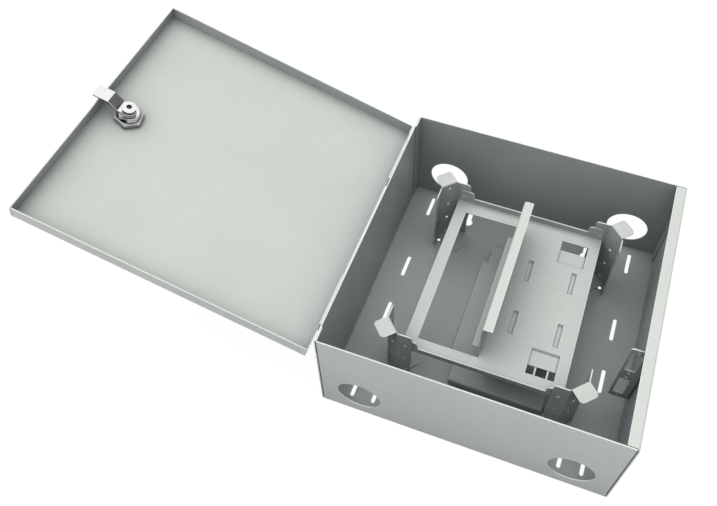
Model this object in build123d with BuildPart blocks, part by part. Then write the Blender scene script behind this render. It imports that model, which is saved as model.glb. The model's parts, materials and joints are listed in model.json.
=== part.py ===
from build123d import *
from math import hypot
import os

# Cable storage cabinet, in millimetres. The back panel's outer face lies on Z = 0 and the box
# opens towards +Z. X runs from the hinge side to the lock side, and Y runs up the wall.
# The door and its lock are drawn closed and placed open by the planes of the function opened.

# Steel sheet and its bends, measured inside the bend and along the middle of the sheet
sheet = 1.2
bend = 1.0
mid_bend = bend + sheet / 2
outer_bend = bend + sheet

# Box over its outer faces, and the return flange on the lock-side wall
box_x = 298
box_y = 300
box_z = 126
flange_width = 11.1
flange_gap = 0.8

# End panels between the side walls
seam = 0.1
end_flange = 16
corner_relief = 2.5

# Cable entries in the end panels, from the side walls' outer faces and from the back
entry_d = 45.6
entry_edge = 41.9
entry_z = 36.2

# Slots and small holes in the back panel, from the walls' outer faces
slot_length = 28
slot_width = 4
slot_edge = 28
slot_edge_inner = 51
slot_end = 25.5
slot_pair = 92
pilot_d = 4
pilot_edge_x = 52.5
pilot_edge_y = 69

# Wall-fixing keyholes: a round hole for the screw's head and a slot upwards for its neck
key_x = 71
key_y = 117.5
key_d = 10
key_neck = 5
key_rise = 12

# Corner uprights: outer faces of their flanges from the middle, and the cut corner's legs
post_out = 100.5
post_cut = 15
post_flange = 15.5
post_top = 95
post_corner = 3.5
tab_width = 19.5
tab_length = 17
tab_corner = 4
foot_length = 28

# Holes up the uprights: in the web every pitch, in the flanges half a pitch between
post_hole_d = 4
post_pitch = 26
web_hole_z = 8.5
web_holes = 4
flange_holes = 3
flange_hole_in = 23.6

# Mounting plate: how far inside the uprights' outer faces its sides stand, its top face's
# height, its turned-up ends and their bolt tabs
plate_inset = 19
plate_top = 65
plate_up = 8
plate_tab_up = 18
plate_tab_width = 17
plate_tab_corner = 5

# Opening in the plate and the tongue from it that stands up as the tall bar
opening_edge = 12.5
opening_y = 167
tongue_x = -7.8
tongue_y = 161
tongue_top = 117
tongue_flange = 10

# Tie bridges, pressed down out of the plate
tie_width = 5
tie_length = 28
tie_y = 32.5
tie_x = (16.2, 62.6)
press_drop = 2.5
press_run = 1.5
shear_gap = 0.3

# Windows at the plate's two ends, each with a pressed flap from its inner edge
window_x = (41.2, 70)
window_y = (53.5, 83)
flap_length = 18.5
finger_width = 1.6
finger_length = 9
finger_x = (49.9, 62.3)

# Low platform on the back panel
platform_x = (-31, 68)
platform_y = (-92, 88)
platform_top = 12
foot_tab = 12
foot_inset = 8
foot_hole = 7.5
wing_width = 6.5
wing_y = 124

# Bridge under the plate, with narrower legs that stand on the platform
bridge_x = (-15.7, 67)
bridge_y = 144
bridge_leg = 51.2
bridge_gap = 0.3
bridge_rivet_in = 10

# Adapter bracket on the lock-side wall
bracket_y = -54
bracket_reach = 21.3
bracket_z = (22.5, 121.5)
bracket_corner = 3
bracket_leg = 15
bracket_window_x = (3, 13.3)
bracket_windows_z = ((31, 62), (80, 112))
bracket_hole_d = 3
bracket_hole_x = 8
bracket_hole_gap = 4

# Door tray over its outer faces: how far its lips stand off the walls, and their depth
lip = 15
lip_gap_x = 2.25
lip_gap_y = 0.3
door_rest = 0.3
lip_seam = 0.4
open_angle = 163.15

# Hinges: rolled leaves round a pin, outside the hinge-side wall
leaf = 1.0
pin_d = 2.6
pin_fit = 0.05
pin_head = 0.8
knuckle_d = 5
hinge_length = 58
hinge_end = 55
hinge_wall_gap = 2.1
hinge_lip_gap = 0.9
knuckle_gap = 0.3
wall_leaf = 22
lip_leaf = 11
joggle_run = 3.1

# Quarter-turn lock: its place from the free edge, its barrel, head, nut and turning core
lock_edge = 32.5
lock_y = 2
barrel_d = 22
barrel_flats = 20
barrel_length = 12.3
barrel_fit = 0.15
head_d = 28
head_height = 4
nut_across = 27
nut_height = 6.5
nut_turn = -41.7
nut_chamfer = 30
core_d = 14
core_head_d = 18
core_head = 3
core_fit = 0.06
key_pocket_d = 12
key_pocket = 2.4
key_post_d = 4.5
key_bit = 1.6

# Lock cam: a joggled arm on the core's square end, held by a socket screw
cam_sheet = 2.5
cam_width = 14.8
cam_reach = 37.4
cam_gap = 0.2
cam_drop = 7.5
cam_joggle = (10, 19.5)
cam_tip = 1.5
cam_square = 8
square_fit = 0.1
cam_screw_d = 5
cam_screw_head_d = 11
cam_screw_head = 5
cam_screw_depth = 8
cam_socket = 4.5
cam_socket_depth = 3
keeper_gap = 1.25

# Rivets
rivet_head_d = 7
rivet_head = 1.5
rivet_d = 3.8
small_rivet_d = 3
small_rivet_head_d = 5.5
small_rivet_head = 1

# Levels and places that follow from the sizes above
wall_in = box_x / 2 - sheet
end_in = box_y / 2 - sheet
post_in = post_out - sheet
plate_x = 2 * (post_out - plate_inset)
plate_low = plate_top - sheet
plate_mid = plate_top - sheet / 2
tab_hole_z = web_hole_z + post_pitch * (flange_holes - 0.5)
foot_top = 2 * sheet
hole_at = post_out - flange_hole_in
foot_at = post_out - post_cut / 2 - foot_length / 2 / 2**0.5
feet = [(side * foot_at, end * foot_at) for side in (-1, 1) for end in (-1, 1)]
platform_feet_x = (platform_x[0] + foot_inset + foot_hole, platform_x[1] - foot_inset - foot_hole)
platform_feet_y = (platform_y[0] + foot_hole, platform_y[1] - foot_hole)
platform_feet = [(x, y) for x in platform_feet_x for y in platform_feet_y]
bridge_mid = sum(bridge_x) / 2
bridge_top = plate_low - press_drop - bridge_gap
bridge_feet_x = (bridge_mid - bridge_leg / 2 + bridge_rivet_in, bridge_mid + bridge_leg / 2 - bridge_rivet_in)
bridge_feet = [(x, end * (bridge_y / 2 - foot_hole)) for x in bridge_feet_x for end in (-1, 1)]
bracket_feet = [(bracket_y + bracket_leg - foot_hole, sum(window) / 2) for window in bracket_windows_z]

# Door, hinge and lock places with the door closed
lip_out_x = lip_gap_x + sheet
lip_out_y = lip_gap_y + sheet
door_x = box_x + 2 * lip_out_x
door_y = box_y + 2 * lip_out_y
door_in = box_z + door_rest
rim = door_in - lip
hinge_x = -box_x / 2 - hinge_wall_gap - knuckle_d / 2
hinge_z = rim - hinge_lip_gap - knuckle_d / 2
hinge_y = box_y / 2 - hinge_end
lock_at = (door_x / 2 - lock_edge, lock_y)
cam_base = door_in - barrel_length - cam_gap - cam_sheet / 2
cam_arm = cam_base - cam_drop
cam_swing = hypot(cam_reach, cam_width / 2)
keeper_length = 2 * ((cam_swing**2 - (wall_in - lock_at[0]) ** 2) ** 0.5 + keeper_gap)

# How the door's planes turn about the hinge axis from closed to open
hinge_turn = Pos(hinge_x, 0, hinge_z) * Rot(0, -open_angle, 0) * Pos(-hinge_x, 0, -hinge_z)


def opened(plane):
    """Return a plane of the closed door where it stands with the door open."""
    return Plane(hinge_turn * plane.location)


def bent(plane, points, thickness=sheet, radius=mid_bend):
    """Return the end view of sheet that follows the points round rounded bends."""
    with BuildSketch(plane) as section:
        with BuildLine():
            FilletPolyline(*points, radius=radius)
        trace(line_width=thickness)
    return section.sketch


# Wrap sheet: hinge-side wall, back panel, lock-side wall and its return flange
wall_mid = box_x / 2 - sheet / 2
with BuildPart() as body_wrap:
    wrap_line = [
        (box_x / 2 - flange_width, box_z - sheet / 2),
        (wall_mid, box_z - sheet / 2),
        (wall_mid, sheet / 2),
        (-wall_mid, sheet / 2),
        (-wall_mid, box_z),
    ]
    extrude(bent(Plane.XZ, wrap_line), amount=box_y / 2, both=True)
    # The flange stops short of the end panels
    flange_cut = sheet + flange_gap
    with BuildSketch(Plane.XY.offset(box_z)):
        for end in (-1, 1):
            with Locations((wall_in, end * box_y / 2)):
                Rectangle(2 * flange_width, 2 * flange_cut)
        with Locations((box_x / 2, 0)):
            Rectangle(2 * sheet, 2 * box_y, mode=Mode.SUBTRACT)
    extrude(amount=-outer_bend, mode=Mode.SUBTRACT)
    # Slots, small holes and wall-fixing keyholes in the back panel
    slots_x = box_x / 2 - slot_edge
    slots_x_inner = box_x / 2 - slot_edge_inner
    slots_y = box_y / 2 - slot_end
    with BuildSketch(Plane.XY):
        for side in (-1, 1):
            for end in (-1, 1):
                with Locations(
                    (side * slots_x, end * slots_y),
                    (side * slots_x_inner, end * slots_y),
                    (side * slots_x, end * (slots_y - slot_pair)),
                ):
                    SlotOverall(slot_length, slot_width, rotation=90)
                with Locations((side * (box_x / 2 - pilot_edge_x), end * (box_y / 2 - pilot_edge_y))):
                    Circle(pilot_d / 2)
                with Locations((side * key_x, end * key_y)):
                    Circle(key_d / 2)
                    with Locations((0, key_rise / 2)):
                        Rectangle(key_neck, key_rise)
                    with Locations((0, key_rise)):
                        Circle(key_neck / 2)
        with Locations(*feet, *platform_feet):
            Circle(post_hole_d / 2)
    extrude(amount=sheet, mode=Mode.SUBTRACT)
    # Rivet holes for the adapter bracket and the keeper slot that the lock cam turns into
    with BuildSketch(Plane.YZ.offset(wall_in)):
        with Locations((lock_y, cam_arm)):
            Rectangle(keeper_length, cam_sheet + 2 * keeper_gap)
        with Locations(*bracket_feet):
            Circle(small_rivet_d / 2 + core_fit)
    extrude(amount=sheet, mode=Mode.SUBTRACT)

# Upper end panel, a plate with side flanges between the walls, and the lower one opposite
with BuildPart() as upper_end_panel:
    end_mid = wall_in - seam - sheet / 2
    end_line = [
        (-end_mid, box_y / 2 - end_flange),
        (-end_mid, box_y / 2 - sheet / 2),
        (end_mid, box_y / 2 - sheet / 2),
        (end_mid, box_y / 2 - end_flange),
    ]
    extrude(bent(Plane.XY.offset(sheet), end_line), amount=box_z - sheet)
    # Room for the return flange, and relief over the wrap's lower bends
    with BuildSketch(Plane.XZ.offset(-end_in)):
        with Locations((wall_in, box_z)):
            Rectangle(2 * flange_width, 2 * (outer_bend + seam))
    extrude(amount=end_flange, mode=Mode.SUBTRACT)
    with BuildSketch(Plane.XZ.offset(-box_y / 2)):
        with Locations((-wall_in, sheet), (wall_in, sheet)):
            Rectangle(2 * (seam + corner_relief), 2 * corner_relief)
    extrude(amount=end_flange, mode=Mode.SUBTRACT)
    with BuildSketch(Plane.XZ.offset(-box_y / 2)):
        entry_x = box_x / 2 - entry_edge
        with Locations((-entry_x, entry_z), (entry_x, entry_z)):
            Circle(entry_d / 2)
    extrude(amount=sheet, mode=Mode.SUBTRACT)

with BuildPart() as lower_end_panel:
    mirror(upper_end_panel.part, about=Plane.XZ)

# Corner upright: flanged web, a foot turned inwards and a tab turned outwards
corner = Plane(origin=(post_out - post_cut / 2, post_out - post_cut / 2, 0), x_dir=(1, 1, 0), z_dir=(1, -1, 0))
with BuildPart() as upright_upper_lock:
    post_mid = post_out - sheet / 2
    cut_mid = post_out - post_cut - sheet * (2**0.5 - 1) / 2
    post_line = [
        (post_out - post_cut - post_flange, post_mid),
        (cut_mid, post_mid),
        (post_mid, cut_mid),
        (post_mid, post_out - post_cut - post_flange),
    ]
    post_low = sheet + outer_bend
    post_high = post_top - outer_bend
    extrude(bent(Plane.XY.offset(post_low), post_line), amount=post_high - post_low)
    flange_tips = edges().filter_by(lambda e: abs(e.length - sheet) < 0.01).group_by(Axis.Z)[-1]
    fillet(flange_tips, radius=post_corner)
    # Foot, web and top tab as one strip
    strip_line = [
        (-foot_length, sheet * 1.5),
        (-sheet / 2, sheet * 1.5),
        (-sheet / 2, post_top - sheet / 2),
        (tab_length - sheet, post_top - sheet / 2),
    ]
    extrude(bent(corner, strip_line), amount=tab_width / 2, both=True)
    tab_ends = edges().filter_by(Axis.Z).filter_by(lambda e: abs(e.length - sheet) < 0.01)
    fillet(tab_ends.group_by(Axis((0, 0, 0), (1, 1, 0)))[-1], radius=tab_corner)
    fillet(tab_ends.group_by(Axis((0, 0, 0), (1, 1, 0)))[0], radius=tab_corner)
    # Holes in the web
    with BuildSketch(Plane(origin=corner.origin, x_dir=(0, 0, 1), z_dir=(1, 1, 0))):
        for step in range(web_holes):
            with Locations((web_hole_z + step * post_pitch, 0)):
                Circle(post_hole_d / 2)
    extrude(amount=-2 * sheet, mode=Mode.SUBTRACT)
    # Holes in the flanges
    with BuildSketch(Plane.XZ.offset(-post_out)):
        for step in range(flange_holes):
            with Locations((hole_at, web_hole_z + (step + 0.5) * post_pitch)):
                Circle(post_hole_d / 2)
    extrude(amount=sheet, mode=Mode.SUBTRACT)
    with BuildSketch(Plane.YZ.offset(post_out)):
        for step in range(flange_holes):
            with Locations((hole_at, web_hole_z + (step + 0.5) * post_pitch)):
                Circle(post_hole_d / 2)
    extrude(amount=-sheet, mode=Mode.SUBTRACT)
    # Rivet hole in the foot
    with BuildSketch(Plane.XY):
        with Locations((foot_at, foot_at)):
            Circle(post_hole_d / 2)
    extrude(amount=foot_top, mode=Mode.SUBTRACT)

with BuildPart() as upright_upper_hinge:
    mirror(upright_upper_lock.part, about=Plane.YZ)
with BuildPart() as upright_lower_lock:
    mirror(upright_upper_lock.part, about=Plane.XZ)
with BuildPart() as upright_lower_hinge:
    mirror(upright_lower_lock.part, about=Plane.YZ)

# Mounting plate with turned-up ends, the tall bar and what is pressed out of it
with BuildPart() as mounting_plate:
    end_mid_y = post_in - sheet / 2
    plate_line = [
        (-end_mid_y, plate_top + plate_tab_up),
        (-end_mid_y, plate_mid),
        (end_mid_y, plate_mid),
        (end_mid_y, plate_top + plate_tab_up),
    ]
    extrude(bent(Plane.YZ, plate_line), amount=plate_x / 2, both=True)
    # The ends stand lower between the bolt tabs
    with BuildSketch(Plane.XZ):
        with Locations((0, plate_top + plate_up)):
            Rectangle(plate_x - 2 * plate_tab_width, plate_tab_up, align=(Align.CENTER, Align.MIN))
    extrude(amount=post_out, both=True, mode=Mode.SUBTRACT)
    tab_tops = edges().filter_by(Axis.Y).filter_by(lambda e: abs(e.length - sheet) < 0.01)
    fillet(tab_tops.group_by(Axis.Z)[-1], radius=plate_tab_corner)
    with BuildSketch(Plane.XZ):
        with Locations((-hole_at, tab_hole_z), (hole_at, tab_hole_z)):
            Circle(post_hole_d / 2)
    extrude(amount=post_out, both=True, mode=Mode.SUBTRACT)
    # Opening, then the tongue out of it that stands up as the bar
    bar_mid = tongue_x + sheet / 2
    opening_low = -plate_x / 2 + opening_edge
    opening_high = bar_mid + mid_bend
    with BuildSketch(Plane.XY.offset(plate_low)):
        with Locations(((opening_low + opening_high) / 2, 0)):
            Rectangle(opening_high - opening_low, opening_y)
    extrude(amount=sheet, mode=Mode.SUBTRACT)
    bar_line = [
        (tongue_x + tongue_flange, tongue_top - sheet / 2),
        (bar_mid, tongue_top - sheet / 2),
        (bar_mid, plate_mid),
        (bar_mid + 2 * mid_bend, plate_mid),
    ]
    extrude(bent(Plane.XZ, bar_line), amount=tongue_y / 2, both=True)
    # Clear the sheet round every tie bridge and window
    with BuildSketch(Plane.XY.offset(plate_low)):
        for side in (-1, 1):
            for place in tie_x:
                with Locations((place, side * tie_y)):
                    Rectangle(tie_width + 2 * shear_gap, tie_length)
            with Locations((sum(window_x) / 2, side * sum(window_y) / 2)):
                Rectangle(window_x[1] - window_x[0], window_y[1] - window_y[0])
    extrude(amount=sheet, mode=Mode.SUBTRACT)
    # Tie bridges, pressed down and held at both ends
    for side in (-1, 1):
        low = side * tie_y - tie_length / 2
        high = side * tie_y + tie_length / 2
        bridge_line = [
            (low - sheet, plate_mid),
            (low, plate_mid),
            (low + press_run, plate_mid - press_drop),
            (high - press_run, plate_mid - press_drop),
            (high, plate_mid),
            (high + sheet, plate_mid),
        ]
        for place in tie_x:
            tie_bridge = bent(Plane.YZ.offset(place), bridge_line, radius=sheet / 2)
            extrude(tie_bridge, amount=tie_width / 2, both=True)
    # Flaps pressed down from the windows' inner edges
    for side in (-1, 1):
        flap_line = [
            (side * (window_y[0] - sheet), plate_mid),
            (side * window_y[0], plate_mid),
            (side * (window_y[0] + press_run), plate_mid - press_drop),
            (side * (window_y[0] + flap_length), plate_mid - press_drop),
        ]
        flap = bent(Plane.YZ.offset(sum(window_x) / 2), flap_line, radius=sheet / 2)
        extrude(flap, amount=(window_x[1] - window_x[0]) / 2 - shear_gap, both=True)
    # Fingers across the lower window
    with BuildSketch(Plane.XY.offset(plate_low)):
        for place in finger_x:
            with Locations((place, -window_y[1])):
                Rectangle(finger_width, finger_length, align=(Align.CENTER, Align.MIN))
    extrude(amount=sheet)

# Low platform, a channel that stands on its two turned-down ends and carries a side wing
with BuildPart() as lower_platform:
    platform_mid = platform_top - sheet / 2
    platform_ends = (platform_y[0] + sheet / 2, platform_y[1] - sheet / 2)
    platform_line = [
        (platform_ends[0], sheet + outer_bend),
        (platform_ends[0], platform_mid),
        (platform_ends[1], platform_mid),
        (platform_ends[1], sheet + outer_bend),
    ]
    platform_width = platform_x[1] - platform_x[0]
    extrude(bent(Plane.YZ.offset(platform_x[0]), platform_line), amount=platform_width)
    with BuildSketch(Plane.XY.offset(platform_top - sheet)):
        with Locations((platform_x[0], 0)):
            Rectangle(2 * wing_width, wing_y)
    extrude(amount=sheet)
    # Feet turned inwards on the back panel
    for end, turn in ((platform_y[0], 1), (platform_y[1], -1)):
        foot_line = [
            (end + turn * sheet / 2, platform_mid - outer_bend),
            (end + turn * sheet / 2, sheet * 1.5),
            (end + turn * foot_tab, sheet * 1.5),
        ]
        foot_side = bent(Plane.YZ.offset(platform_x[0] + foot_inset), foot_line)
        extrude(foot_side, amount=platform_width - 2 * foot_inset)
    # Rivet holes in the feet, and in the top for the bridge
    with BuildSketch(Plane.XY.offset(sheet)):
        with Locations(*platform_feet):
            Circle(post_hole_d / 2)
    extrude(amount=sheet, mode=Mode.SUBTRACT)
    with BuildSketch(Plane.XY.offset(platform_top)):
        with Locations(*bridge_feet):
            Circle(post_hole_d / 2)
    extrude(amount=-sheet, mode=Mode.SUBTRACT)

with BuildPart() as centre_bridge:
    bridge_mid_y = bridge_y / 2 - sheet / 2
    bridge_low = platform_top + sheet / 2
    bridge_line = [
        (-bridge_mid_y + foot_tab, bridge_low),
        (-bridge_mid_y, bridge_low),
        (-bridge_mid_y, bridge_top - sheet / 2),
        (bridge_mid_y, bridge_top - sheet / 2),
        (bridge_mid_y, bridge_low),
        (bridge_mid_y - foot_tab, bridge_low),
    ]
    extrude(bent(Plane.YZ.offset(bridge_mid), bridge_line), amount=bridge_leg / 2, both=True)
    # The top is wider than its legs
    with BuildSketch(Plane.XY.offset(bridge_top - sheet)):
        with Locations((bridge_mid, 0)):
            Rectangle(bridge_x[1] - bridge_x[0], bridge_y - 2 * outer_bend)
    extrude(amount=sheet)
    with BuildSketch(Plane.XY.offset(platform_top)):
        with Locations(*bridge_feet):
            Circle(post_hole_d / 2)
    extrude(amount=sheet, mode=Mode.SUBTRACT)

# Adapter bracket: a plate across the box with two windows, and a leg on the lock-side wall
with BuildPart() as adapter_bracket:
    bracket_line = [
        (wall_in - bracket_reach, bracket_y),
        (wall_in - sheet / 2, bracket_y),
        (wall_in - sheet / 2, bracket_y + bracket_leg),
    ]
    bracket_height = bracket_z[1] - bracket_z[0]
    extrude(bent(Plane.XY.offset(bracket_z[0]), bracket_line), amount=bracket_height)
    free_corners = edges().filter_by(Axis.Y).filter_by(lambda e: abs(e.length - sheet) < 0.01)
    fillet(free_corners.group_by(Axis.X)[0], radius=bracket_corner)
    window_mid = wall_in - bracket_reach + sum(bracket_window_x) / 2
    with BuildSketch(Plane.XZ.offset(-bracket_y)):
        for low, high in bracket_windows_z:
            with Locations((window_mid, (low + high) / 2)):
                Rectangle(bracket_window_x[1] - bracket_window_x[0], high - low)
            for z in (low - bracket_hole_gap, high + bracket_hole_gap):
                with Locations((wall_in - bracket_reach + bracket_hole_x, z)):
                    Circle(bracket_hole_d / 2)
    extrude(amount=sheet, both=True, mode=Mode.SUBTRACT)
    # Rivet holes in the leg
    with BuildSketch(Plane.YZ.offset(wall_in)):
        with Locations(*bracket_feet):
            Circle(small_rivet_d / 2 + core_fit)
    extrude(amount=-sheet, mode=Mode.SUBTRACT)

# Door: a tray with lips on its four edges
door_axis = Axis(opened(Plane.XY).origin, opened(Plane.XY).z_dir)
with BuildPart() as door:
    with BuildSketch(opened(Plane.XY.offset(rim))):
        Rectangle(door_x, door_y)
    extrude(amount=lip + sheet)
    fillet(faces().sort_by(door_axis)[-1].edges(), radius=outer_bend)
    offset(amount=-sheet, openings=faces().sort_by(door_axis)[0])
    # Seams where the lips meet at the corners
    with BuildSketch(opened(Plane.XY.offset(rim))):
        seam_x = door_x / 2 - sheet - lip_seam / 2
        with GridLocations(2 * seam_x, door_y - sheet, 2, 2):
            Rectangle(lip_seam, sheet)
    extrude(amount=lip - bend, mode=Mode.SUBTRACT)
    # Hole for the lock's flatted barrel
    with BuildSketch(opened(Plane.XY.offset(door_in))):
        with Locations(lock_at):
            Circle(barrel_d / 2 + barrel_fit)
            Rectangle(2 * barrel_d, barrel_flats + 2 * barrel_fit, mode=Mode.INTERSECT)
    extrude(amount=sheet, mode=Mode.SUBTRACT)

# Hinges: the wall's leaf has the two outer knuckles, and the lip's leaf has the middle one
knuckle_length = hinge_length / 3


def fixed_leaf(y):
    """Return the leaf on the hinge-side wall of the hinge at a height y."""
    with BuildPart() as hinge:
        neck = hinge_x + (knuckle_d - leaf) / 2
        wall_side = -box_x / 2 - leaf / 2
        leaf_line = [
            (neck, hinge_z),
            (neck, hinge_z - knuckle_d / 2 - leaf),
            (wall_side, hinge_z - knuckle_d / 2 - leaf - joggle_run),
            (wall_side, hinge_z - wall_leaf - knuckle_d / 2),
        ]
        side_view = bent(Plane.XZ.offset(-y), leaf_line, thickness=leaf, radius=leaf)
        extrude(side_view, amount=hinge_length / 2, both=True)
        with BuildSketch(Plane.XZ.offset(-y)):
            with Locations((hinge_x, hinge_z)):
                Circle(knuckle_d / 2)
        extrude(amount=hinge_length / 2, both=True)
        # Room for the middle knuckle
        with BuildSketch(Plane.XZ.offset(-y)):
            with Locations((hinge_x, hinge_z)):
                Rectangle(2 * knuckle_d, knuckle_d + 2 * leaf)
        extrude(amount=knuckle_length / 2 + knuckle_gap, both=True, mode=Mode.SUBTRACT)
        with BuildSketch(Plane.XZ.offset(-y)):
            with Locations((hinge_x, hinge_z)):
                Circle(pin_d / 2 + pin_fit / 2)
        extrude(amount=hinge_length, both=True, mode=Mode.SUBTRACT)
    return hinge.part


def moving_leaf(y):
    """Return the leaf on the door's lip of the hinge at a height y."""
    with BuildPart() as hinge:
        side = opened(Plane.XZ.offset(-y))
        lip_side = -door_x / 2 - leaf / 2
        clear_z = hinge_z + knuckle_d / 2 + knuckle_gap
        with BuildSketch(side):
            with Locations((lip_side, clear_z)):
                Rectangle(leaf, rim + lip_leaf - clear_z, align=(Align.CENTER, Align.MIN))
        extrude(amount=hinge_length / 2, both=True)
        with BuildSketch(side):
            with Locations((hinge_x, hinge_z)):
                Circle(knuckle_d / 2)
            with Locations((lip_side, hinge_z)):
                Rectangle(leaf, rim + leaf - hinge_z, align=(Align.CENTER, Align.MIN))
            with Locations((hinge_x, hinge_z)):
                Circle(pin_d / 2 + pin_fit, mode=Mode.SUBTRACT)
        extrude(amount=knuckle_length / 2, both=True)
    return hinge.part


def hinge_pin(y):
    """Return the headed pin of the hinge at a height y."""
    with BuildPart() as pin:
        with BuildSketch(Plane.XZ.offset(-y)):
            with Locations((hinge_x, hinge_z)):
                Circle(pin_d / 2)
        extrude(amount=hinge_length / 2 + pin_head, both=True)
        with BuildSketch(Plane.XZ.offset(-y - hinge_length / 2)):
            with Locations((hinge_x, hinge_z)):
                Circle(knuckle_d / 2 - pin_head / 2)
        extrude(amount=-pin_head)
    return pin.part


# Lock housing: a flatted barrel through the door, with a head outside
with BuildPart() as lock_housing:
    with BuildSketch(opened(Plane.XY.offset(door_in - barrel_length))):
        with Locations(lock_at):
            Circle(barrel_d / 2)
            Rectangle(2 * barrel_d, barrel_flats, mode=Mode.INTERSECT)
    extrude(amount=barrel_length + sheet)
    with BuildSketch(opened(Plane.XY.offset(door_in + sheet))):
        with Locations(lock_at):
            Circle(head_d / 2)
    extrude(amount=head_height)
    fillet(faces().sort_by(door_axis)[-1].edges(), radius=head_height / 3)
    with BuildSketch(opened(Plane.XY.offset(door_in - barrel_length))):
        with Locations(lock_at):
            Circle(core_d / 2 + core_fit)
    extrude(amount=barrel_length + sheet + head_height, mode=Mode.SUBTRACT)
    with BuildSketch(opened(Plane.XY.offset(door_in + sheet + head_height))):
        with Locations(lock_at):
            Circle(core_head_d / 2 + core_fit)
    extrude(amount=-core_head, mode=Mode.SUBTRACT)

with BuildPart() as lock_nut:
    with BuildSketch(opened(Plane.XY.offset(door_in - nut_height))):
        with Locations(Pos(*lock_at) * Rot(0, 0, nut_turn)):
            RegularPolygon(nut_across / 2, 6, major_radius=False)
        with Locations(lock_at):
            Circle(barrel_d / 2 + core_fit, mode=Mode.SUBTRACT)
    extrude(amount=nut_height)
    # Corners taken off by a cone, as on a turned nut
    with BuildSketch(opened(Plane.XY.offset(door_in - nut_height))) as nut_round:
        with Locations(lock_at):
            Circle(nut_across / 2)
    extrude(nut_round.sketch, amount=nut_height, taper=-nut_chamfer, mode=Mode.INTERSECT)

# Turning core with a key pocket outside and a square end inside
core_out = door_in + sheet + head_height - core_head
with BuildPart() as lock_core:
    with BuildSketch(opened(Plane.XY.offset(door_in - barrel_length))):
        with Locations(lock_at):
            Circle(core_d / 2)
    extrude(amount=core_out + core_fit - door_in + barrel_length)
    with BuildSketch(opened(Plane.XY.offset(core_out + core_fit))):
        with Locations(lock_at):
            Circle(core_head_d / 2)
    extrude(amount=core_head - core_fit)
    # Square end through the cam
    square_low = cam_base - cam_sheet / 2 + cam_gap
    with BuildSketch(opened(Plane.XY.offset(square_low))):
        with Locations(lock_at):
            Rectangle(cam_square, cam_square)
    extrude(amount=door_in - barrel_length - square_low)
    # Key pocket round a post with two bits
    with BuildSketch(opened(Plane.XY.offset(core_out + core_head))):
        with Locations(lock_at):
            Circle(key_pocket_d / 2)
            Circle(key_post_d / 2, mode=Mode.SUBTRACT)
            Rectangle(key_post_d + 2 * key_bit, key_bit, mode=Mode.SUBTRACT)
    extrude(amount=-key_pocket, mode=Mode.SUBTRACT)
    # Threaded hole for the cam's screw
    with BuildSketch(opened(Plane.XY.offset(square_low))):
        with Locations(lock_at):
            Circle(cam_screw_d / 2 + core_fit)
    extrude(amount=cam_screw_depth, mode=Mode.SUBTRACT)

with BuildPart() as lock_cam:
    cam_line = [
        (lock_at[0] - cam_width / 2, cam_base),
        (lock_at[0] + cam_joggle[0], cam_base),
        (lock_at[0] + cam_joggle[1], cam_arm),
        (lock_at[0] + cam_reach, cam_arm),
    ]
    cam_side = bent(opened(Plane.XZ.offset(-lock_y)), cam_line, thickness=cam_sheet, radius=cam_sheet)
    extrude(cam_side, amount=cam_width / 2, both=True)
    # Outline from above, round about the core and blunt at the tip
    with BuildSketch(opened(Plane.XY.offset(cam_arm - cam_sheet))):
        with Locations(lock_at):
            Circle(cam_width / 2)
            with Locations((cam_reach / 2, 0)):
                Rectangle(cam_reach, cam_width)
        fillet(vertices().group_by(Axis.X)[-1], radius=cam_tip)
        with Locations(lock_at):
            Rectangle(cam_square + 2 * square_fit, cam_square + 2 * square_fit, mode=Mode.SUBTRACT)
    extrude(amount=cam_drop + 2 * cam_sheet, mode=Mode.INTERSECT)

with BuildPart() as cam_screw:
    screw_face = cam_base - cam_sheet / 2
    with BuildSketch(opened(Plane.XY.offset(screw_face))):
        with Locations(lock_at):
            Circle(cam_screw_head_d / 2)
    extrude(amount=-cam_screw_head)
    fillet(faces().sort_by(door_axis)[0].edges(), radius=cam_screw_head / 6)
    with BuildSketch(opened(Plane.XY.offset(screw_face))):
        with Locations(lock_at):
            Circle(cam_screw_d / 2)
    extrude(amount=cam_screw_depth - cam_gap)
    with BuildSketch(opened(Plane.XY.offset(screw_face - cam_screw_head))):
        with Locations(lock_at):
            RegularPolygon(cam_socket / 2, 6, major_radius=False)
    extrude(amount=cam_socket_depth, mode=Mode.SUBTRACT)

def rivets(plane, places, head, height, shank, depth):
    """Return domed rivets on a plane, their heads out of it and their shanks into it."""
    with BuildPart() as group:
        with BuildSketch(plane):
            with Locations(*places):
                Circle(head / 2)
        extrude(amount=height)
        with BuildSketch(plane):
            with Locations(*places):
                Circle(shank / 2)
        extrude(amount=-depth)
        rims = edges().filter_by(GeomType.CIRCLE).filter_by(lambda e: e.radius > shank / 2 + 0.1)
        out = rims.filter_by(lambda e: plane.to_local_coords(e.center()).Z > height / 2)
        fillet(out, radius=height * 0.6)
    return group.part


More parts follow.
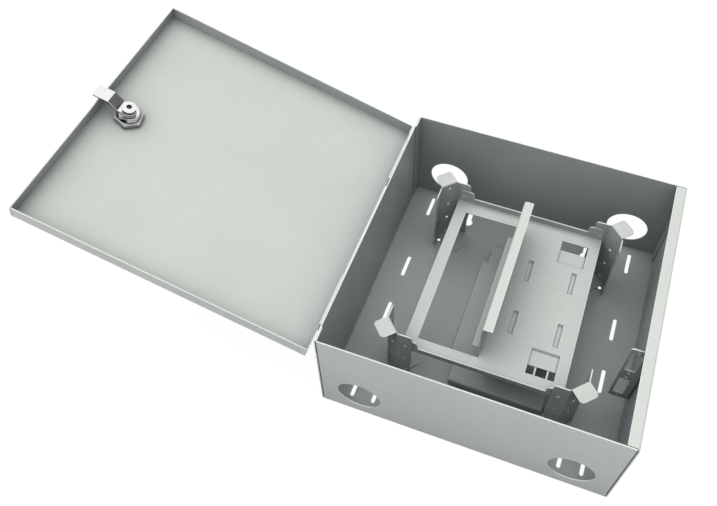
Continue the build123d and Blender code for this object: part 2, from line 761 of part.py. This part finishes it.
wall_plane = Plane(origin=(wall_in - sheet, 0, 0), x_dir=(0, 0, 1), z_dir=(-1, 0, 0))
wall_places = [(z, y) for y, z in bracket_feet]
foot_plane = Plane.XY.offset(foot_top)
bridge_plane = Plane.XY.offset(platform_top + sheet)
pieces = {
    "body_wrap": body_wrap.part,
    "upper_end_panel": upper_end_panel.part,
    "lower_end_panel": lower_end_panel.part,
    "door": door.part,
    "upper_fixed_leaf": fixed_leaf(hinge_y),
    "lower_fixed_leaf": fixed_leaf(-hinge_y),
    "upper_door_leaf": moving_leaf(hinge_y),
    "lower_door_leaf": moving_leaf(-hinge_y),
    "upper_hinge_pin": hinge_pin(hinge_y),
    "lower_hinge_pin": hinge_pin(-hinge_y),
    "lock_housing": lock_housing.part,
    "lock_nut": lock_nut.part,
    "lock_core": lock_core.part,
    "lock_cam": lock_cam.part,
    "cam_screw": cam_screw.part,
    "upright_upper_lock": upright_upper_lock.part,
    "upright_upper_hinge": upright_upper_hinge.part,
    "upright_lower_lock": upright_lower_lock.part,
    "upright_lower_hinge": upright_lower_hinge.part,
    "mounting_plate": mounting_plate.part,
    "centre_bridge": centre_bridge.part,
    "lower_platform": lower_platform.part,
    "adapter_bracket": adapter_bracket.part,
    "foot_rivets": rivets(foot_plane, feet, rivet_head_d, rivet_head, rivet_d, foot_top),
    "platform_rivets": rivets(foot_plane, platform_feet, rivet_head_d, rivet_head, rivet_d, foot_top),
    "bridge_rivets": rivets(bridge_plane, bridge_feet, rivet_head_d, rivet_head, rivet_d, foot_top),
    "bracket_rivets": rivets(
        wall_plane, wall_places, small_rivet_head_d, small_rivet_head, small_rivet_d, foot_top
    ),
}
os.makedirs("parts", exist_ok=True)
for name, piece in pieces.items():
    piece.label = name
    export_step(piece, f"parts/{name}.step")
    print(name, len(piece.solids()), round(piece.volume, 1))
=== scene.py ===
import json
from math import pi, sin, cos, radians

import bmesh
import bpy
from mathutils import Matrix, Vector


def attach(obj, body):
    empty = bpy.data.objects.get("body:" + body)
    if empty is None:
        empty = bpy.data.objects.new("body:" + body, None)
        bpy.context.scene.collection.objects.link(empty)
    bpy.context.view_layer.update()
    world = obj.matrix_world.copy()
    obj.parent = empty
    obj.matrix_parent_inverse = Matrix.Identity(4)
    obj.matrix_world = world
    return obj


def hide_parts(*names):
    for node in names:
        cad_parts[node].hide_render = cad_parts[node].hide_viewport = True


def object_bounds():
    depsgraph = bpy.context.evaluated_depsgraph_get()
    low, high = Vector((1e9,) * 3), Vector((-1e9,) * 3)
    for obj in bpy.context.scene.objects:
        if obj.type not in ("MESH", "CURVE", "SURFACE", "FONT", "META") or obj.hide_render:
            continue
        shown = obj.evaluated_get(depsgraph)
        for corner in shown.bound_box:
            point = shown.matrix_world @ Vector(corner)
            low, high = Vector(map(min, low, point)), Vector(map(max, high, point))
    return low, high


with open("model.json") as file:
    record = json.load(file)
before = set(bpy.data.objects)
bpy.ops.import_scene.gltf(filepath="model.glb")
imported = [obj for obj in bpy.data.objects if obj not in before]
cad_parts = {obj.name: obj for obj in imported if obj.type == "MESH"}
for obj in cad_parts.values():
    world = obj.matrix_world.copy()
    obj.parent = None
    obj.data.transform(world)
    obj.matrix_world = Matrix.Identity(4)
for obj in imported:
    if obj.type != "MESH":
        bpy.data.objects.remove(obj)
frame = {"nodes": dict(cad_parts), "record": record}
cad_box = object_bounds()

# Cable storage cabinet of powder-coated sheet steel, seen from above with its door open.
# Lengths are in metres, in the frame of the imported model. Colours are linear.

# Camera, fitted to the photograph
CAMERA_AT = Vector((0.02924, -0.43833, 0.77152))
CAMERA_RIGHT = Vector((0.93927, 0.34317, 0.00359))
CAMERA_UP = Vector((-0.27839, 0.75578, 0.59271))
LENS = 39.384
SENSOR = 36.0
SHIFT = (-0.0451, -0.0529)
CLIP_START = 0.01

# Powder coat. Scales are grains per metre, shares multiply the colour
GREY_COAT = (0.647, 0.668, 0.620, 1)
COAT_SPECULAR = 0.3
PATCH_SCALE = 14
PATCH_SHARE = (0.975, 1.02)
SPECKLE_SCALE = 900
SPECKLE_SHARE = (0.955, 1.045)
COAT_SHEEN_SCALE = 60
COAT_ROUGHNESS = (0.44, 0.56)
PEEL_SCALE = 650
PEEL_HEIGHT = 0.00013
GRAIN_SCALE = 2600
GRAIN_HEIGHT = 0.00004
# Painted shade: how much of each channel is left in the deepest corners, and how far off walls the
# painted shade still darkens
DEEP_SHARE = (0.328, 0.354, 0.396)
DEEP_REACH = 0.25
# The same painted shade in narrow gaps and creases, and round the hinges
CREASE_SHARE = (0.52, 0.53, 0.54)
HINGE_SHARE = (0.16, 0.17, 0.175)
CREASE_REACH = 0.003
# Painted highlight: how much lighter the coat is painted on sheet edges, and how far in from them
EDGE_HIGHLIGHT = 1.7
EDGE_REACH = 0.0009
# The hinge knuckles are coloured lighter than their leaves, and the lighter colour fades out
# between these distances from the hinge line
KNUCKLE_COAT = (0.90, 0.92, 0.89, 1)
KNUCKLE_REACH = (0.0034, 0.0050)

# Plated metal. The nut, barrel and painted-shade colours are the same chrome painted darker for
# shade
CHROME = (0.93, 0.93, 0.92, 1)
CHROME_HEAD = (0.66, 0.67, 0.67, 1)
CHROME_NUT = (0.47, 0.48, 0.48, 1)
CHROME_BARREL = (0.54, 0.55, 0.55, 1)
CHROME_PAINTED_SHADE = (0.13, 0.135, 0.135, 1)
ZINC = (0.62, 0.63, 0.64, 1)
WEAR_SCALE = 220
WEAR_SHARE = 0.93
METAL_SHEEN_SCALE = 900
SHEEN_SPREAD = (0.7, 1.4)
CHROME_STREAKS = 1500
ZINC_STREAKS = 2500
STREAK_HEIGHT = 0.000012

# Noise and occlusion nodes
NOISE_ROUGHNESS = 0.55
NOISE_MIDDLE = (0.3, 0.7)
OCCLUSION_SAMPLES = 4
WHITE = (1, 1, 1, 1)

# Floor, white to the camera with a soft shadow, and grey to the light that it bounces
FLOOR_HALF = 6.0
FLOOR_GAP = 0.0004
FLOOR_GREY = (0.85, 0.85, 0.85, 1)
PAPER_GLOW = 0.93
PAPER_SHADOW = (0.12, 0.12, 0.12, 1)

# Studio dome: its brightness overhead and halfway up on three sides, its colours, the heights
# at which its middle band starts, peaks and ends, as sines of the angle, and the least share
# of a direction that lies level, so that straight up divides by no zero
DOME_TOP = 2.06
DOME_MID_HINGE_SIDE = 1.42
DOME_MID_LOWER_SIDE = 0.76
DOME_MID_UPPER_SIDE = 0.70
DOME_TOP_COLOUR = (1.0, 1.0, 1.0, 1)
DOME_SIDE_COLOUR = (0.935, 0.985, 1.045, 1)
BAND_START = 0.2
BAND_PEAK = 0.6
BAND_END = 0.95
LEAST_LEVEL = 0.0001

# Hinge line, how far the door stands open about it, and the leaves
HINGE_AT = Vector((-0.1536, 0, 0.1079))
OPEN_ANGLE = radians(163.15)
HINGE_LEAVES = ("upper_fixed_leaf", "lower_fixed_leaf", "upper_door_leaf", "lower_door_leaf")

# Lock on the closed door: its axis, and heights of the door's faces and of the head
LOCK_AT = (0.11995, 0.002)
DOOR_IN = 0.1263
DOOR_OUT = 0.1275
HEAD_OUT = 0.1315
# Housing
HEAD_R = 0.01400
SEAT_R = 0.00906
SEAT_DEPTH = 0.0030
BORE_R = 0.00706
BARREL_END = 0.1140
BARREL_R = 0.0110
BARREL_FLAT = 0.0100
BARREL_STEPS = 96
THREAD_PITCH = 0.0015
THREAD_DEPTH = 0.0009
THREAD_RINGS = 66
# Nut
NUT_IN = 0.1198
NUT_R = 0.0135
NUT_BORE_R = 0.01106
NUT_FACE_R = 0.0128
NUT_SLOPE = 0.55
NUT_TURN = radians(-41.7)
NUT_STEPS = 144
# Cap screw
SCREW_FACE = 0.1113
SCREW_HEAD = 0.0050
SCREW_STEPS = 180
CAP_R = 0.0073
NECK_R = 0.0053
KNURL_DEPTH = 0.00022
KNURLS = 30
SHANK_R = 0.0024
TIP_R = 0.00005
SOCKET_R = 0.00225
SOCKET_DEPTH = 0.003
# Places of the finishes on a lock piece: bright chrome, chrome painted darker for shade, and the
# head's chrome
BRIGHT, SHADED, HEAD = range(3)
# Cam: how square a face stands to the lock's axis to be a bright flat (the other faces take painted
# shade), its soft edges, and what is joined into one point or one flat before them
CAM_FLAT = 0.985
CAM_EDGE = 0.0003
CAM_EDGE_ANGLE = radians(40)
CAM_JOIN = 0.00001
CAM_JOIN_ANGLE = radians(1)

# Weld beads in the corner reliefs: place of one, its half sizes, the height of its lumps and how
# closely they follow across and up, and its rings and steps
WELD_AT = (0.1462, 0.1494, 0.0026)
WELD_SIZE = Vector((0.0020, 0.00055, 0.0018))
WELD_LUMP = 0.08
WELD_WAVES = (9, 7)
WELD_RINGS = 12
WELD_STEPS = 20

# Smooth shading stops at edges sharper than this
SHARP_ANGLE = radians(32)


def open_door():
    """Return the turn that carries a point of the closed door to where the door stands open."""
    turn = Matrix.Rotation(-OPEN_ANGLE, 4, "Y")
    return Matrix.Translation(HINGE_AT) @ turn @ Matrix.Translation(-HINGE_AT)


OPEN = open_door()


# Nodes


def join(tree, node, inputs):
    """Link or set each input of a node."""
    for place, value in inputs.items():
        if isinstance(value, bpy.types.NodeSocket):
            tree.links.new(value, node.inputs[place])
        else:
            node.inputs[place].default_value = value


def add(tree, kind, output, inputs, **settings):
    """Add a node with its settings and inputs, and return the output asked for."""
    node = tree.nodes.new(kind)
    for name, value in settings.items():
        setattr(node, name, value)
    join(tree, node, inputs)
    return node.outputs[output]


def calc(tree, operation, first, second):
    """Return the result of an operation on two values."""
    return add(tree, "ShaderNodeMath", "Value", {0: first, 1: second}, operation=operation)


def mixed(tree, factor, first, second, blend="MIX"):
    """Return two colours mixed by a factor."""
    inputs = {"Factor": factor, "A": first, "B": second}
    return add(tree, "ShaderNodeMix", "Result", inputs, data_type="RGBA", blend_type=blend)


def mapped(tree, value, start, end, low=0.0, high=1.0):
    """Return a value mapped from start and end onto low and high, and held there outside."""
    inputs = {"Value": value, "From Min": start, "From Max": end, "To Min": low, "To Max": high}
    return add(tree, "ShaderNodeMapRange", "Result", inputs)


def noise(tree, scale, detail):
    """Return the factor of a noise in object space, with its scale in grains per metre."""
    where = add(tree, "ShaderNodeTexCoord", "Object", {})
    inputs = {"Vector": where, "Scale": scale, "Detail": detail, "Roughness": NOISE_ROUGHNESS}
    return add(tree, "ShaderNodeTexNoise", "Fac", inputs)


def spread(tree, factor, low, high):
    """Return a noise factor mapped from its middle range onto low to high."""
    return mapped(tree, factor, *NOISE_MIDDLE, low, high)


def scaled(tree, colour, factor):
    """Return the colour scaled by a factor that varies over the surface."""
    inputs = {0: colour, "Scale": factor}
    return add(tree, "ShaderNodeVectorMath", "Vector", inputs, operation="SCALE")


def occlusion(tree, reach, **settings):
    """Return how open the surroundings are within a reach, 1 where nothing is near."""
    kind = "ShaderNodeAmbientOcclusion"
    return add(tree, kind, "AO", {"Distance": reach}, samples=OCCLUSION_SAMPLES, **settings)


def painted_corner_shade(tree, colour, deep, reach):
    """Return the colour darkened by painted shade towards inner corners and deep places."""
    share = mixed(tree, occlusion(tree, reach), (*deep, 1), WHITE)
    return mixed(tree, 1.0, colour, share, "MULTIPLY")


def painted_edge_highlight(tree, colour):
    """Return the colour lightened along outer edges as a painted highlight."""
    near = occlusion(tree, EDGE_REACH, inside=True, only_local=True)
    return scaled(tree, colour, mapped(tree, near, 0.0, 1.0, EDGE_HIGHLIGHT, 1.0))


def on_knuckle(tree):
    """Return 1 on the hinge knuckles and 0 on the leaves beyond them."""
    where = add(tree, "ShaderNodeTexCoord", "Object", {})
    inputs = {0: where, 1: (1, 0, 1)}
    across = add(tree, "ShaderNodeVectorMath", "Vector", inputs, operation="MULTIPLY")
    inputs = {0: across, 1: (HINGE_AT.x, 0, HINGE_AT.z)}
    away = add(tree, "ShaderNodeVectorMath", "Value", inputs, operation="DISTANCE")
    return mapped(tree, away, *KNUCKLE_REACH, 1.0, 0.0)


def shade(colour, factor):
    """Return the colour made darker or lighter by a factor."""
    return (*(channel * factor for channel in colour[:3]), 1)


def bumps(tree, layers):
    """Return the normal of a chain of bumps, each a factor and its height in metres."""
    normal = {}
    for factor, height in layers:
        inputs = {"Strength": 1.0, "Distance": height, "Height": factor, **normal}
        normal = {"Normal": add(tree, "ShaderNodeBump", "Normal", inputs)}
    return normal["Normal"]


def seen_ray(tree):
    """Return 1 for rays of the camera, mirror rays and rays through glass, and 0 for light."""
    rays = tree.nodes.new("ShaderNodeLightPath").outputs
    mirrored = calc(tree, "MAXIMUM", rays["Is Glossy Ray"], rays["Is Transmission Ray"])
    return calc(tree, "MAXIMUM", rays["Is Camera Ray"], mirrored)


# Materials


def new_material(name):
    """Return a new material, its node tree and its shader."""
    made = bpy.data.materials.new(name)
    made.use_nodes = True
    return made, made.node_tree, made.node_tree.nodes["Principled BSDF"]


def powder_coat(name, crease, knuckle=None):
    """Return light grey powder coat: orange peel, a fine grain, faint patches, painted shade in
    corners and creases, and a painted highlight on edges.
    """
    made, tree, shader = new_material(name)
    patches = spread(tree, noise(tree, PATCH_SCALE, detail=4.0), 0.0, 1.0)
    low, high = (shade(GREY_COAT, share) for share in PATCH_SHARE)
    paint = mixed(tree, patches, low, high)
    if knuckle:
        paint = mixed(tree, on_knuckle(tree), paint, knuckle)
    speckle = spread(tree, noise(tree, SPECKLE_SCALE, detail=2.0), *SPECKLE_SHARE)
    paint = scaled(tree, paint, speckle)
    # Painted shade in deep corners and in narrow creases
    paint = painted_corner_shade(tree, paint, DEEP_SHARE, DEEP_REACH)
    paint = painted_corner_shade(tree, paint, crease, CREASE_REACH)
    sheen = noise(tree, COAT_SHEEN_SCALE, detail=3.0)
    peel = noise(tree, PEEL_SCALE, detail=2.0)
    grain = noise(tree, GRAIN_SCALE, detail=2.0)
    # The base colour carries a painted highlight along the sheet edges
    join(tree, shader, {
        "Base Color": painted_edge_highlight(tree, paint),
        "Roughness": spread(tree, sheen, *COAT_ROUGHNESS),
        "Specular IOR Level": COAT_SPECULAR,
        "Normal": bumps(tree, [(peel, PEEL_HEIGHT), (grain, GRAIN_HEIGHT)]),
    })
    return made


def plated(name, colour, roughness, streaks=CHROME_STREAKS, deep=None, reach=None):
    """Return bright plated metal with faint streaks and a worn sheen, with painted shade in its
    recesses where deep is given.
    """
    made, tree, shader = new_material(name)
    wear = spread(tree, noise(tree, WEAR_SCALE, detail=5.0), 0.0, 1.0)
    metal = mixed(tree, wear, shade(colour, WEAR_SHARE), colour)
    if deep:
        # Painted shade in the recesses
        metal = painted_corner_shade(tree, metal, (deep, deep, deep), reach)
    sheen = noise(tree, METAL_SHEEN_SCALE, detail=3.0)
    low, high = (roughness * share for share in SHEEN_SPREAD)
    join(tree, shader, {
        "Metallic": 1.0,
        "Base Color": metal,
        "Roughness": spread(tree, sheen, low, high),
        "Normal": bumps(tree, [(noise(tree, streaks, detail=4.0), STREAK_HEIGHT)]),
    })
    return made


coat = powder_coat("powder_coat_grey", CREASE_SHARE)
# The hinges' coat takes deeper painted shade in the gaps round the knuckles
hinge_coat = powder_coat("powder_coat_hinges", HINGE_SHARE, KNUCKLE_COAT)
chrome = plated("lock_chrome", CHROME, roughness=0.12)
# Painted shade in the recesses of the head, the nut and the barrel's thread
chrome_head = plated("lock_chrome_head", CHROME_HEAD, roughness=0.15, deep=0.10, reach=0.006)
# The nut and the barrel's thread are chrome painted darker for shade
chrome_nut = plated("lock_chrome_nut", CHROME_NUT, roughness=0.16, deep=0.10, reach=0.008)
chrome_barrel = plated(
    "lock_chrome_thread", CHROME_BARREL, roughness=0.16, deep=0.07, reach=0.0045)
# Chrome painted dark, standing for plating in shade
chrome_painted_shade = plated("lock_chrome_painted_shade", CHROME_PAINTED_SHADE, roughness=0.28)
zinc = plated("zinc_plate", ZINC, roughness=0.3, streaks=ZINC_STREAKS)
FINISHES = {"powder_coat": coat, "lock_chrome": chrome, "zinc": zinc}
SPECIAL_FINISHES = {"lock_core": chrome_head, **{name: hinge_coat for name in HINGE_LEAVES}}


def finish_nodes():
    """Give every carried-over CAD node the material of its slot, or its own."""
    slots = {part["node"]: part["material_slot"] for part in frame["record"]["subparts"]}
    for name, obj in frame["nodes"].items():
        if not obj.material_slots:
            obj.data.materials.append(None)
        for place in obj.material_slots:
            place.material = SPECIAL_FINISHES.get(name, FINISHES[slots[name]])


# Stage


def add_floor():
    """Add the pale floor under the box."""
    mesh = bpy.data.meshes.new("floor")
    ends = ((-1, -1), (1, -1), (1, 1), (-1, 1))
    corners = [(x * FLOOR_HALF, y * FLOOR_HALF, 0) for x, y in ends]
    mesh.from_pydata(corners, [], [(0, 1, 2, 3)])
    floor = bpy.data.objects.new("floor", mesh)
    floor.location.z = cad_box[0][2] - FLOOR_GAP
    bpy.context.scene.collection.objects.link(floor)
    made = bpy.data.materials.new("floor_paper")
    made.use_nodes = True
    tree = made.node_tree
    tree.nodes.clear()
    dull = add(tree, "ShaderNodeBsdfDiffuse", "BSDF", {"Color": FLOOR_GREY})
    glow = add(tree, "ShaderNodeEmission", "Emission", {"Color": WHITE, "Strength": PAPER_GLOW})
    shadow = add(tree, "ShaderNodeBsdfDiffuse", "BSDF", {"Color": PAPER_SHADOW})
    paper = add(tree, "ShaderNodeAddShader", "Shader", {0: glow, 1: shadow})
    surface = add(tree, "ShaderNodeMixShader", "Shader", {0: seen_ray(tree), 1: dull, 2: paper})
    join(tree, tree.nodes.new("ShaderNodeOutputMaterial"), {"Surface": surface})
    mesh.materials.append(made)


def add_world():
    """Add a studio dome that is brightest overhead and over the hinge side, white to the camera."""
    world = bpy.data.worlds.new("studio")
    bpy.context.scene.world = world
    world.use_nodes = True
    tree = world.node_tree
    tree.nodes.clear()
    where = add(tree, "ShaderNodeTexCoord", "Generated", {})
    split = tree.nodes.new("ShaderNodeSeparateXYZ")
    join(tree, split, {"Vector": where})
    x, y, z = (split.outputs[axis] for axis in "XYZ")
    top = mapped(tree, z, BAND_PEAK, BAND_END)
    rising = mapped(tree, z, BAND_START, BAND_PEAK)
    falling = mapped(tree, z, BAND_END, BAND_PEAK)
    band = calc(tree, "MINIMUM", rising, falling)
    # Share of each side, from the square of the direction's part towards it
    squares = (calc(tree, "MULTIPLY", axis, axis) for axis in (x, y))
    level = calc(tree, "MAXIMUM", calc(tree, "ADD", *squares), LEAST_LEVEL)
    sides = 0.0
    for axis, way, strength in (
        (x, -1.0, DOME_MID_HINGE_SIDE),
        (y, -1.0, DOME_MID_LOWER_SIDE),
        (y, 1.0, DOME_MID_UPPER_SIDE),
    ):
        towards = calc(tree, "MAXIMUM", calc(tree, "MULTIPLY", axis, way), 0.0)
        share = calc(tree, "DIVIDE", calc(tree, "MULTIPLY", towards, towards), level)
        sides = calc(tree, "ADD", sides, calc(tree, "MULTIPLY", share, strength))
    domes = {}
    for place, strength, colour in (
        (0, calc(tree, "MULTIPLY", top, DOME_TOP), DOME_TOP_COLOUR),
        (1, calc(tree, "MULTIPLY", band, sides), DOME_SIDE_COLOUR),
    ):
        inputs = {"Color": colour, "Strength": strength}
        domes[place] = add(tree, "ShaderNodeBackground", "Background", inputs)
    light = add(tree, "ShaderNodeAddShader", "Shader", domes)
    white = add(tree, "ShaderNodeBackground", "Background", {"Color": WHITE})
    surface = add(tree, "ShaderNodeMixShader", "Shader", {0: seen_ray(tree), 1: light, 2: white})
    join(tree, tree.nodes.new("ShaderNodeOutputWorld"), {"Surface": surface})


def add_camera():
    """Add the camera at the photograph's place, angle and framing."""
    data = bpy.data.cameras.new("camera")
    data.lens = LENS
    data.sensor_width = SENSOR
    data.sensor_fit = "HORIZONTAL"
    data.shift_x, data.shift_y = SHIFT
    data.clip_start = CLIP_START
    camera = bpy.data.objects.new("camera", data)
    back = CAMERA_RIGHT.cross(CAMERA_UP)
    turn = Matrix((CAMERA_RIGHT, CAMERA_UP, back)).transposed()
    camera.matrix_world = Matrix.Translation(CAMERA_AT) @ turn.to_4x4()
    bpy.context.scene.collection.objects.link(camera)
    bpy.context.scene.camera = camera


# Pieces


def mesh_of(made, name):
    """Return a mesh with the content of a bmesh, which is freed."""
    mesh = bpy.data.meshes.new(name)
    made.to_mesh(mesh)
    made.free()
    return mesh


def place_piece(mesh, body, materials, replaced=()):
    """Add a mesh as a piece of the same name with smooth shading, riding on a body."""
    for finish in materials:
        mesh.materials.append(finish)
    for face in mesh.polygons:
        face.use_smooth = True
    mesh.set_sharp_from_angle(angle=SHARP_ANGLE)
    piece = bpy.data.objects.new(mesh.name, mesh)
    bpy.context.scene.collection.objects.link(piece)
    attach(piece, body)
    if replaced:
        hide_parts(*replaced)
    return piece


def add_band(made, first, second, finish=0):
    """Add the faces between two rings of equally many points."""
    for step in range(len(first)):
        after = (step + 1) % len(first)
        face = made.faces.new((first[step], first[after], second[after], second[step]))
        face.material_index = finish


def turned(name, rings, steps, flat=None):
    """Return a mesh turned about the lock's axis, drawn on the closed door and placed open.

    Each ring is a radius and a height on the closed door, each a number or a function of the
    angle, and the place of the finish of the band that starts on it. The last ring joins the
    first. Rings whose radius is a function are cut off sideways at the flat, if there is one.
    """
    made = bmesh.new()
    rows = []
    for radius, height, _ in rings:
        row = []
        for step in range(steps):
            angle = 2 * pi * step / steps
            out = radius(angle) if callable(radius) else radius
            level = height(angle) if callable(height) else height
            side = out * sin(angle)
            if flat and callable(radius):
                side = max(-flat, min(flat, side))
            point = Vector((LOCK_AT[0] + out * cos(angle), LOCK_AT[1] + side, level))
            row.append(made.verts.new(OPEN @ point))
        rows.append(row)
    for ring, row in enumerate(rows):
        add_band(made, row, rows[(ring + 1) % len(rows)], rings[ring][2])
    bmesh.ops.recalc_face_normals(made, faces=made.faces)
    return mesh_of(made, name)


def hexagon(inner, turn=0.0):
    """Return the radius of a hexagon as a function of the angle, from its inner radius."""
    def radius(angle):
        part = (angle - turn) % (pi / 3) - pi / 6
        return inner / cos(part)
    return radius


def thread_at(level, low, high):
    """Return the radius of the barrel's thread at a level, running out at both ends."""
    def radius(angle):
        turn = (level / THREAD_PITCH - angle / (2 * pi)) % 1
        ridge = abs(2 * turn - 1)
        fade = max(0.0, min(1.0, (level - low) / THREAD_PITCH, (high - level) / THREAD_PITCH))
        return BARREL_R - THREAD_DEPTH * (1 - ridge) * fade
    return radius


def add_housing():
    """Add the lock's housing: a flanged head outside and a threaded, flatted barrel inside."""
    rings = [
        (SEAT_R, HEAD_OUT - 0.0004, HEAD),
        (0.00946, HEAD_OUT, HEAD),
        (0.01210, HEAD_OUT, HEAD),
        (0.01270, HEAD_OUT - 0.0002, HEAD),
        (0.01345, HEAD_OUT - 0.0008, HEAD),
        (0.01385, HEAD_OUT - 0.0018, HEAD),
        (HEAD_R, HEAD_OUT - 0.0030, HEAD),
        (HEAD_R, DOOR_OUT + 0.0003, HEAD),
        (0.01370, DOOR_OUT, HEAD),
        (0.01090, DOOR_OUT, SHADED),
    ]
    low = BARREL_END + 0.0008
    high = DOOR_OUT - 0.0002
    for ring in range(THREAD_RINGS + 1):
        level = high - (high - low) * ring / THREAD_RINGS
        rings.append((thread_at(level, low, DOOR_OUT), level, SHADED))
    rings += [
        (0.01010, BARREL_END, BRIGHT),
        (0.00740, BARREL_END, BRIGHT),
        (BORE_R, BARREL_END + 0.0003, BRIGHT),
        (BORE_R, HEAD_OUT - SEAT_DEPTH, BRIGHT),
        (SEAT_R, HEAD_OUT - SEAT_DEPTH, BRIGHT),
    ]
    mesh = turned("lock_housing_threaded", rings, BARREL_STEPS, BARREL_FLAT)
    # The barrel's thread takes chrome painted darker for shade
    finishes = (chrome, chrome_barrel, chrome_head)
    place_piece(mesh, "door", finishes, ("lock_housing",))


def add_nut():
    """Add the hexagonal nut with chamfered corners and a chamfered bore."""
    sides = hexagon(NUT_R, NUT_TURN)

    def corner(angle):
        return NUT_IN + (sides(angle) - NUT_FACE_R) * NUT_SLOPE

    def back_corner(angle):
        return DOOR_IN - 0.0001 - (sides(angle) - NUT_R) * NUT_SLOPE * 0.5

    def back_rim(angle):
        return sides(angle) - 0.0003

    rings = [
        (NUT_BORE_R, DOOR_IN - 0.0002, BRIGHT),
        (NUT_BORE_R, NUT_IN + 0.0005, BRIGHT),
        (0.01160, NUT_IN, BRIGHT),
        (NUT_FACE_R, NUT_IN, BRIGHT),
        (sides, corner, BRIGHT),
        (sides, back_corner, BRIGHT),
        (back_rim, DOOR_IN, BRIGHT),
        (0.01130, DOOR_IN, BRIGHT),
    ]
    mesh = turned("lock_nut_chamfered", rings, NUT_STEPS)
    place_piece(mesh, "door", (chrome_nut,), ("lock_nut",))


def add_screw():
    """Add the cam's cap screw: a bright cap over a knurled neck, with socket, neck and shank in
    chrome painted dark for shade.
    """
    socket = hexagon(SOCKET_R)

    def knurl(angle):
        return NECK_R - KNURL_DEPTH * (0.5 + 0.5 * cos(KNURLS * angle))

    top = SCREW_FACE - SCREW_HEAD
    # Bands marked SHADED take the chrome painted dark for shade
    rings = [
        (TIP_R, top + SOCKET_DEPTH, SHADED),
        (socket, top + SOCKET_DEPTH - 0.0003, SHADED),
        (socket, top + 0.0003, SHADED),
        (SOCKET_R + 0.0006, top, BRIGHT),
        (CAP_R - 0.0009, top, BRIGHT),
        (CAP_R - 0.0003, top + 0.0002, BRIGHT),
        (CAP_R, top + 0.0006, BRIGHT),
        (CAP_R, top + 0.0013, BRIGHT),
        (CAP_R - 0.0002, top + 0.0016, SHADED),
        (knurl, top + 0.0017, SHADED),
        (knurl, SCREW_FACE - 0.0001, SHADED),
        (SHANK_R, SCREW_FACE, SHADED),
        (SHANK_R, SCREW_FACE + 0.0070, SHADED),
        (TIP_R, SCREW_FACE + 0.0075, SHADED),
    ]
    mesh = turned("cam_screw_socket", rings, SCREW_STEPS)
    place_piece(mesh, "lock_cam", (chrome, chrome_painted_shade), ("cam_screw",))


def add_cam():
    """Add the joggled cam arm with softened edges, bright flats, and painted shade on the bend and
    sheared edges.
    """
    made = bmesh.new()
    made.from_mesh(frame["nodes"]["lock_cam"].data)
    bmesh.ops.remove_doubles(made, verts=made.verts, dist=CAM_JOIN)
    bmesh.ops.dissolve_limit(made, angle_limit=CAM_JOIN_ANGLE, verts=made.verts, edges=made.edges)
    bmesh.ops.recalc_face_normals(made, faces=made.faces)
    made.normal_update()
    axis = (OPEN.to_3x3() @ Vector((0, 0, 1))).normalized()
    for face in made.faces:
        # Faces square to the axis take the bright chrome, all others the chrome painted dark for
        # shade
        face.material_index = BRIGHT if abs(face.normal.dot(axis)) > CAM_FLAT else SHADED
    mesh = mesh_of(made, "lock_cam_arm")
    piece = place_piece(mesh, "lock_cam", (chrome, chrome_painted_shade), ("lock_cam",))
    soft = piece.modifiers.new("soft_edges", "BEVEL")
    soft.width = CAM_EDGE
    soft.segments = 2
    soft.limit_method = "ANGLE"
    soft.angle_limit = CAM_EDGE_ANGLE
    soft.material = BRIGHT


def add_bead(made, at):
    """Add a lumpy weld bead about a point to a bmesh."""
    across, up = WELD_WAVES

    def point(tilt, angle):
        out = Vector((sin(tilt) * cos(angle), sin(tilt) * sin(angle), cos(tilt)))
        lump = 1 + WELD_LUMP * sin(across * out.x) * cos(up * out.z)
        return at + lump * out * WELD_SIZE

    rows = []
    for ring in range(1, WELD_RINGS):
        tilt = pi * ring / WELD_RINGS
        angles = (2 * pi * step / WELD_STEPS for step in range(WELD_STEPS))
        rows.append([made.verts.new(point(tilt, angle)) for angle in angles])
    for first, second in zip(rows, rows[1:]):
        add_band(made, first, second)
    for tilt, row in ((0.0, rows[0]), (pi, rows[-1])):
        tip = made.verts.new(point(tilt, 0.0))
        for step in range(WELD_STEPS):
            made.faces.new((tip, row[step], row[(step + 1) % WELD_STEPS]))


def add_welds():
    """Add a small weld bead in each corner relief between the end panels and the wrap."""
    x, y, z = WELD_AT
    for end, name in ((1, "upper_corner_welds"), (-1, "lower_corner_welds")):
        made = bmesh.new()
        for side in (-1, 1):
            add_bead(made, Vector((side * x, end * y, z)))
        bmesh.ops.recalc_face_normals(made, faces=made.faces)
        place_piece(mesh_of(made, name), "cabinet", (coat,))


finish_nodes()
add_housing()
add_nut()
add_screw()
add_cam()
add_welds()
add_floor()
add_world()
add_camera()
bpy.context.scene.view_settings.view_transform = "Standard"
